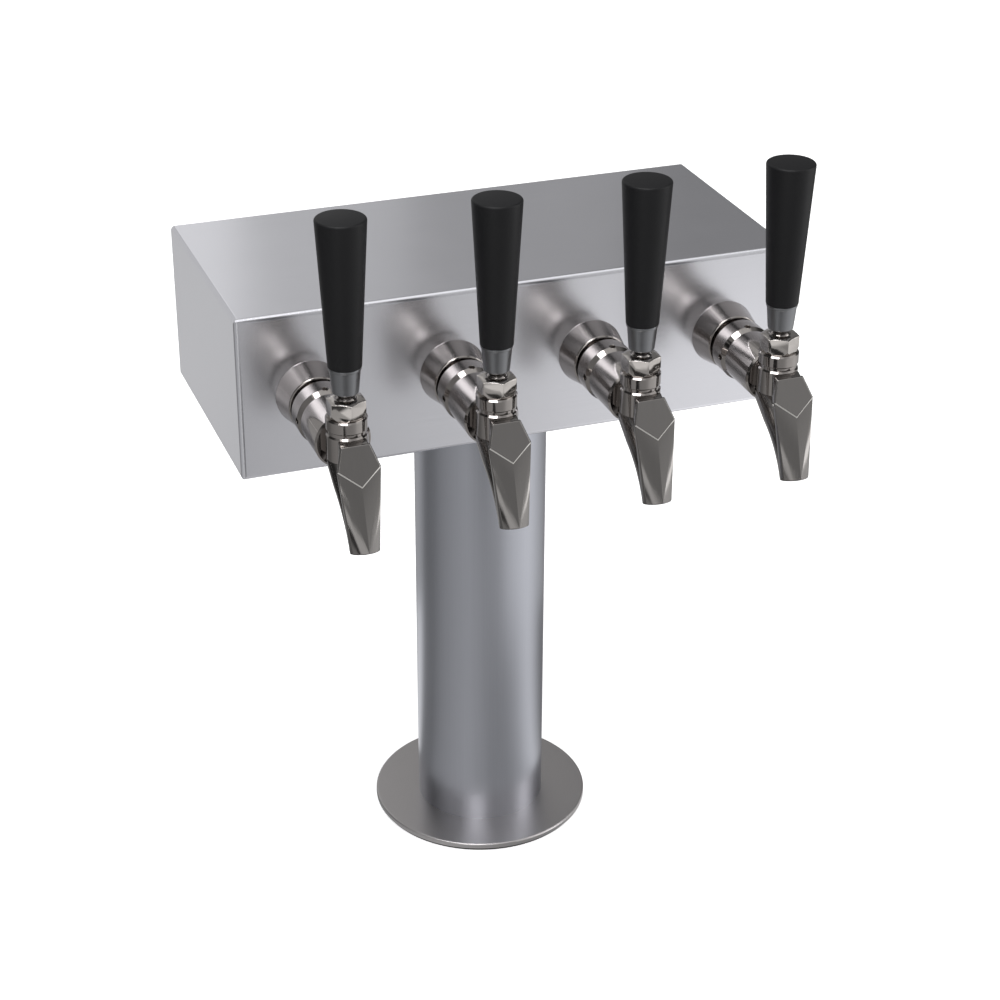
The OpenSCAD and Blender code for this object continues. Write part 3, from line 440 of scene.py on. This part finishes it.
# Collars: tapered rings turned from stainless bar, one behind every tap, with the shanks in them.
# Each is clamped between the head's front and the shoulder of its shank, and a black groove
# parts it from the coupling nut.
taps = range(1, 5)
shank_middles = {n: (Vector(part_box(f"shank_{n}")[0]) + Vector(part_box(f"shank_{n}")[1])) / 2
                 for n in taps}


def each(name):
    """Names of a node that stands once at every tap."""
    return [f"{name}_{n}" for n in taps]


def tap_place(n, out=0.0, axis=(0, -1, 0)):
    """Matrix from mm to the frame: origin on a shank's axis, moved out from the head's front."""
    origin = Vector((shank_middles[n].x, head_low.y - out / 1000, shank_middles[n].z))
    turn = Vector(axis).to_track_quat("Z", "Y").to_matrix().to_4x4()
    return Matrix.Translation(origin) @ turn @ Matrix.Scale(0.001, 4)


def bridge(form, a, b):
    """Joins two rings of points, or a ring and a single point, with faces."""
    for k in range(max(len(a), len(b))):
        j = k + 1
        corners = [a[k % len(a)], a[j % len(a)], b[j % len(b)], b[k % len(b)]]
        form.faces.new(list(dict.fromkeys(corners)))


def turn_on_lathe(form, profile, place, looped=False, segments=72):
    """Adds a lathed surface to a bmesh. The profile's points are (radius, place along the axis)."""
    rings = []
    for radius, along in profile:
        angles = [math.tau * k / segments for k in range(segments if radius else 1)]
        points = [(radius * math.cos(a), radius * math.sin(a), along) for a in angles]
        rings.append([form.verts.new(place @ Vector(point)) for point in points])
    for a, b in zip(rings, rings[1:] + (rings[:1] if looped else [])):
        bridge(form, a, b)


# Mirror-bright, with a faint unevenness from the polish that softens what it mirrors.
bright_turned = metal("polished_turned_stainless", "#a09b98", 0.08, 0.03, (150, 150, 150), 0.01)
collar_profile = [(18.4, 0), (15.6, 15.2), (15.0, 15.8), (11.8, 15.8), (11.8, 17.4), (11.15, 17.4),
                  (11.15, 0)]
form = bmesh.new()
for n in taps:
    turn_on_lathe(form, collar_profile, tap_place(n), looped=True)
finish_piece("turned_collars", form, [bright_turned], ["shank_collars"])
dress(bright_turned, *each("shank"))


# Coupling nuts: round, with a tapered nose and four blind pin holes for a wrench.
# Turned from bar and drilled, they draw the tap onto the shank.
def combine(form, other, operation):
    """A bmesh with a second one joined to it or taken out of it."""
    parts = []
    for part in (form, other):
        bmesh.ops.recalc_face_normals(part, faces=part.faces)
        mesh = bpy.data.meshes.new("part")
        part.to_mesh(mesh)
        part.free()
        parts.append(bpy.data.objects.new("part", mesh))
        scene.collection.objects.link(parts[-1])
    work, tool = parts
    step = work.modifiers.new("step", "BOOLEAN")
    step.operation = operation
    step.solver = "EXACT"
    step.object = tool
    result = work.evaluated_get(bpy.context.evaluated_depsgraph_get())
    mesh = bpy.data.meshes.new_from_object(result)
    for part in parts:
        bpy.data.objects.remove(part)
    form = bmesh.new()
    form.from_mesh(mesh)
    bpy.data.meshes.remove(mesh)
    return form


nut_profile = [(12.2, 18.8), (12.2, 19.7), (15.1, 19.7), (15.6, 20.2), (15.6, 30.4), (13.5, 33.8),
               (9.35, 33.8), (9.35, 31.0), (11.15, 31.0), (11.15, 18.8)]
pin_hole = [(0, 13.6), (1.7, 13.6), (1.7, 17.5), (0, 17.5)]
pin_holes_out = 29.55
for n in taps:
    form, drill = bmesh.new(), bmesh.new()
    turn_on_lathe(form, nut_profile, tap_place(n), looped=True)
    for axis in ((0, 0, 1), (1, 0, 0), (0, 0, -1), (-1, 0, 0)):
        turn_on_lathe(drill, pin_hole, tap_place(n, out=pin_holes_out, axis=axis), segments=24)
    nut = combine(form, drill, "DIFFERENCE")
    finish_piece(f"wrench_nut_{n}", nut, [bright_turned], [f"coupling_nut_{n}"],
                 edge=0.25)


# Tap bodies: a lying cylinder and an upright barrel, cast in one, machined and polished.
# The shuttle slides in the bore from the neck, and the lever's finger swings in the slot above it.
def tap_axes(n):
    """Matrix from mm across, out and up to the frame, from a shank's axis at the head's front."""
    axes = Matrix(((1, 0, 0), (0, -1, 0), (0, 0, 1))).to_4x4()
    origin = (shank_middles[n].x, head_low.y, shank_middles[n].z)
    return Matrix.Translation(origin) @ axes @ Matrix.Scale(0.001, 4)


def add_slab(form, place, outline, half_width):
    """Adds a flat slab, drawn out and up, with equal halves on both sides of the tap's middle."""
    sides = [[form.verts.new(place @ Vector((across, *point))) for point in outline]
             for across in (-half_width, half_width)]
    for side in sides:
        form.faces.new(side)
    for k in range(len(outline)):
        form.faces.new([sides[0][k - 1], sides[0][k], sides[1][k], sides[1][k - 1]])


body_profile = [(0, 28), (9.3, 28), (9.3, 34.5), (14.6, 34.5), (14.6, 59.5), (13.6, 60.5),
                (0, 60.5)]
# The barrel has a groove round it under the bonnet.
barrel_profile = [(0, -5.4), (9.8, -5.4), (10.6, -4.6), (10.6, 8.2), (9.8, 9.0), (9.8, 10.8),
                  (10.6, 11.6), (10.6, 16.9), (9.9, 17.6), (0, 17.6)]
valve_bore = [(0, 27), (6.4, 27), (6.4, 32.1), (4.25, 32.1), (4.25, 73.5), (0, 73.5)]
finger_slot = [(69.8, 0), (69.8, 18.6), (62.1, 18.6), (62.1, 17.6), (58.2, 8.8), (55.3, 3.8),
               (55.3, 0)]
slot_half_width = 2.25
bonnet_seat = [(0, 15.2), (8.0, 15.2), (8.0, 18.6), (0, 18.6)]
# Barrel, bonnet, lever and handle share an upright axis this far out from the head's front.
reach = 67
for n in taps:
    body, barrel, bore, slot, seat = (bmesh.new() for _ in range(5))
    turn_on_lathe(body, body_profile, tap_place(n))
    turn_on_lathe(barrel, barrel_profile, tap_place(n, out=reach, axis=(0, 0, 1)))
    turn_on_lathe(bore, valve_bore, tap_place(n), segments=32)
    add_slab(slot, tap_axes(n), finger_slot, slot_half_width)
    turn_on_lathe(seat, bonnet_seat, tap_place(n, out=reach, axis=(0, 0, 1)), segments=48)
    body = combine(body, barrel, "UNION")
    for hollow in (bore, slot, seat):
        body = combine(body, hollow, "DIFFERENCE")
    finish_piece(f"cast_body_{n}", body, [bright_turned], [f"tap_body_{n}"])


# Bonnets: turned from hexagon bar, and screwed into the barrel over the lever's ball.
# The hexagon is drawn out a little wider; the spigot under it and the mouth keep their size.
def merged_copy(node):
    """A bmesh of a CAD node's mesh, its loose triangles joined and its flat faces made whole."""
    form = bmesh.new()
    form.from_mesh(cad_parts[node].data)
    bmesh.ops.remove_doubles(form, verts=form.verts, dist=1e-6)
    bmesh.ops.dissolve_limit(form, angle_limit=still_flat, verts=form.verts, edges=form.edges)
    return form


still_flat = math.radians(0.5)
# Buffed brighter than the body, so its flats and rims catch the light.
buffed_bonnet = metal("buffed_stainless_bonnet", "#c2bdb9", 0.1, 0.03, (300, 300, 300), 0.01)
# The reaches are from the axis, in metres: corners that lie farther out are moved.
hexagon_growth, spigot_length, spigot_reach, mouth_reach = 1.1, 0.00245, 0.00815, 0.00705
for n in taps:
    form = merged_copy(f"bonnet_{n}")
    seat_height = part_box(f"bonnet_{n}")[0][2]
    middle = Vector((shank_middles[n].x, head_low.y - reach / 1000))
    for corner in form.verts:
        out = corner.co.xy - middle
        in_spigot = corner.co.z < seat_height + spigot_length
        if out.length > (spigot_reach if in_spigot else mouth_reach):
            corner.co.xy = middle + hexagon_growth * out
    finish_piece(f"hex_bonnet_{n}", form, [buffed_bonnet], [f"bonnet_{n}"], edge=0.4)


# Spouts: a bent tapering tube with a flat-sided blade and a shield on its front.
# Cast in stainless and polished less than the body, so they look darker and softer.
# Their points are in mm (out, up) from the shank's axis at the head's front.
run_start = Vector((60.5, -7.6))
slope, lean = math.radians(34.4), math.radians(15.9)
run_dir = Vector((math.cos(slope), -math.sin(slope)))
tip = Vector((94, -45.2))
tip_dir = Vector((math.sin(lean), -math.cos(lean)))
root_radius, tip_radius = 9.3, 7.7
# The bore is drawn from the outlet up to this share of the bend.
bore_radius, bore_end = 4.3, 0.75
# The bend is fuller behind, so the spout's back runs almost straight down to the outlet.
belly, belly_shift, bend_steps = 1.4, 0.6, 8
bend_length = run_dir.cross(tip - run_start) / run_dir.cross(tip_dir)
bend_turn = math.pi / 2 - lean - slope
bend_radius = bend_length / math.tan(bend_turn / 2)
bend_middle = tip + bend_radius * Vector((tip_dir.y, -tip_dir.x))
# The shield's corners are (across, down its face).
shield_top, shield_middle = Vector((81.4, 8.1)), 11
shield_lean = math.radians(30.6)
shield_down = Vector((math.sin(shield_lean), -math.cos(shield_lean)))
shield_in = Vector((-math.cos(shield_lean), -math.sin(shield_lean)))
shield_outline = [(-7.7, 0), (7.7, 0), (11.5, 12.4), (0, 22), (-11.5, 12.4)]
# The outlet's edge: round behind, with a ridge in front that runs up to the shield's point.
ridge_side = [(0, 7.6), (20, 7.4), (40, 6.9), (60, 6.85), (90, 7.65)]
ridge = ridge_side + [(180 - a, r) for a, r in ridge_side[:-1]]
tip_outline = [(math.radians(a), r) for a, r in ridge]
tip_outline += [(math.radians(a), 7.6) for a in range(190, 360, 10)]


def path_ring(form, place, centre, direction, radius, segments=48, flattening=0.16):
    """A ring of points square to a direction, flatter where the blade covers it."""
    side = Vector((-direction.y, direction.x))
    points = []
    for k in range(segments if radius else 1):
        a = math.tau * k / segments
        flat = 1 - flattening * max(0, math.sin(a))
        fore = radius * math.sin(a) * flat
        across = radius * math.cos(a) * flat
        point = Vector((across, centre.x + fore * side.x, centre.y + fore * side.y))
        points.append(form.verts.new(place @ point))
    return points


def bend_point(share):
    """Place and direction at a share of the bend, from its start to the outlet."""
    turn = slope + share * bend_turn
    direction = Vector((math.cos(turn), -math.sin(turn)))
    return bend_middle + bend_radius * Vector((-direction.y, direction.x)), direction


def add_hull(form, place, cloud):
    """Adds the convex hull of points in millimetres and gives its faces."""
    made = bmesh.ops.convex_hull(form, input=[form.verts.new(place @ p) for p in cloud])
    loose = made["geom_interior"] + made["geom_unused"]
    spare = {v for v in loose if isinstance(v, bmesh.types.BMVert)}
    bmesh.ops.delete(form, geom=list(spare), context="VERTS")
    return [f for f in made["geom"] if isinstance(f, bmesh.types.BMFace) and f.is_valid]


def shield_points(grow, depth):
    """The shield's corners, grown from its middle and set back from its face, in millimetres."""
    points = []
    for across, down in shield_outline:
        along = shield_middle + grow * (down - shield_middle)
        at = shield_top + along * shield_down + depth * shield_in
        points.append(Vector((grow * across, at.x, at.y)))
    return points


def spout_form(place, least_fall=0.15):
    """A spout's tube, blade and shield; the shield's falling edges get the second material, a
    painted highlight.
    """
    form = bmesh.new()
    stops = [(run_start, run_dir, 0), (run_start, run_dir, root_radius)]
    for share in [k / bend_steps for k in range(bend_steps + 1)]:
        (centre, direction), swell = bend_point(share), belly * (1 - share)
        back = belly_shift * swell * Vector((direction.y, -direction.x))
        stops.append((centre + back, direction, tip_radius + swell))
    stops += [(*bend_point(1), bore_radius), (*bend_point(bore_end), bore_radius),
              (*bend_point(bore_end), 0)]
    rings = [path_ring(form, place, *stop) for stop in stops]
    for a, b in zip(rings, rings[1:]):
        bridge(form, a, b)
    side = Vector((-tip_dir.y, tip_dir.x))
    rim = []
    for inset in (0.3, 0.6):
        centre = tip - inset * tip_dir
        for turn, radius in tip_outline:
            at = centre + radius * math.sin(turn) * side
            rim.append(Vector((radius * math.cos(turn), at.x, at.y)))
    # The blade runs from the shield down to the outlet and back to the barrel's front.
    front = [Vector((x, y, z)) for x in (-7.2, 7.2) for y in (75.8, 76.8) for z in (-8.1, 8.1)]
    add_hull(form, place, shield_points(0.98, 1.0) + shield_points(0.98, 1.8) + rim)
    add_hull(form, place, shield_points(0.9, 1.4) + shield_points(0.9, 2.2) + front)
    # The shield has a flat face, a bevelled edge and a narrower back.
    face_edge_and_back = shield_points(0.92, 0) + shield_points(1, 0.9) + shield_points(0.8, 2.0)
    cap = add_hull(form, place, face_edge_and_back)
    bmesh.ops.recalc_face_normals(form, faces=form.faces)
    # The shield's edges that face down its fall get the second material: a painted highlight.
    falling = (place.to_3x3() @ Vector((0, *shield_down))).normalized()
    for face in cap:
        if face.normal.dot(falling) > least_fall:
            face.material_index = 1
    bmesh.ops.dissolve_limit(form, angle_limit=still_flat, verts=form.verts, edges=form.edges,
                             delimit={"MATERIAL"})
    return form


# A satin lustre over a darker grey, with streaks from the polishing belt along the fall.
satin_cast = metal("satin_polished_casting", "#918e8c", 0.15, 0.05, (700, 200, 60), 0.01)
# The shield's lower edges get a much lighter metal: a painted highlight, a thin bright V.
painted_highlight_edge = metal("lower_edges_painted_highlight", "#efece8", 0.2, 0.04, (400, 400, 400), 0.01)
for n in taps:
    finish_piece(f"shield_spout_{n}", spout_form(tap_axes(n)), [satin_cast, painted_highlight_edge],
                 [f"spout_{n}"], edge=0.3)


# Insides: washers, locknuts, tail pieces, seats, shuttles, beer lines and their connectors.
# Brass and steel fittings clamp the shanks, and pale tubing brings the beer up through the foam.
# Warm yellow with a dull shine, as turned and left bare.
turned_brass = metal("turned_brass", "#d3ae66", 0.28, 0.06, (500, 500, 500), 0.01)
dress(turned_brass, "shank_locknuts", "tail_nuts", *each("shuttle"))
dress(mild_steel, "shank_washers")
dress(bright_turned, "tail_pieces")
# White and slippery, with almost no grain.
white_acetal = plastic("white_moulded_acetal", "#e8e6df", 0.35, 1200, 0.01)
dress(white_acetal, "lever_seats")
# Pale grey and slightly frosted by the mould.
grey_polymer = plastic("pale_grey_moulded_polymer", "#dcdcd9", 0.45, 900, 0.03)
dress(grey_polymer, "line_connectors")
# Milky and smooth, as drawn from the extruder.
milky_tube = plastic("milky_extruded_polyethylene", "#dfe3e4", 0.3, 300, 0.01)
dress(milky_tube, *each("beer_line"))


# Levers, ferrules and handles.
# A polished ball lever, a satin turned ferrule, and a black plastic handle screwed on its stud.
dress(bright_turned, *each("lever"))
# A duller grey than the taps, with fine rings round it from the lathe.
satin_ring = metal("satin_turned_ferrule", "#8a8b8e", 0.32, 0.04, (40, 40, 1500), 0.01)
ferrule_profile = [(6.1, 30.0), (6.7, 30.6), (7.8, 42.6), (8.2, 42.9), (8.2, 44.0), (4.05, 44.0),
                   (4.05, 30.0)]
# Nearly black, with a low gloss that gives the side a soft pale streak and no sharp mirror.
black_grip = plastic("black_moulded_handle", "#151517", 0.5, 1500, 0.02, gloss=0.25)
handle_radius, handle_top, handle_round = 12.7, 120.4, 1.2
handle_arc = [(handle_radius - handle_round + handle_round * math.cos(a),
               handle_top - handle_round + handle_round * math.sin(a))
              for a in (math.radians(d) for d in (0, 22.5, 45, 67.5, 90))]
handle_profile = [(0, 44.0), (8.2, 44.0), (8.5, 44.3), *handle_arc, (0, handle_top)]
for n in taps:
    form = bmesh.new()
    turn_on_lathe(form, ferrule_profile, tap_place(n, out=reach, axis=(0, 0, 1)), looped=True)
    finish_piece(f"ferrule_ring_{n}", form, [satin_ring], [f"ferrule_{n}"],
                 body=f"lever_{n}_group", edge=0.15)
    form = bmesh.new()
    turn_on_lathe(form, handle_profile, tap_place(n, out=reach, axis=(0, 0, 1)))
    finish_piece(f"grip_{n}", form, [black_grip], [f"handle_{n}"],
                 body=f"lever_{n}_group", edge=0.15)
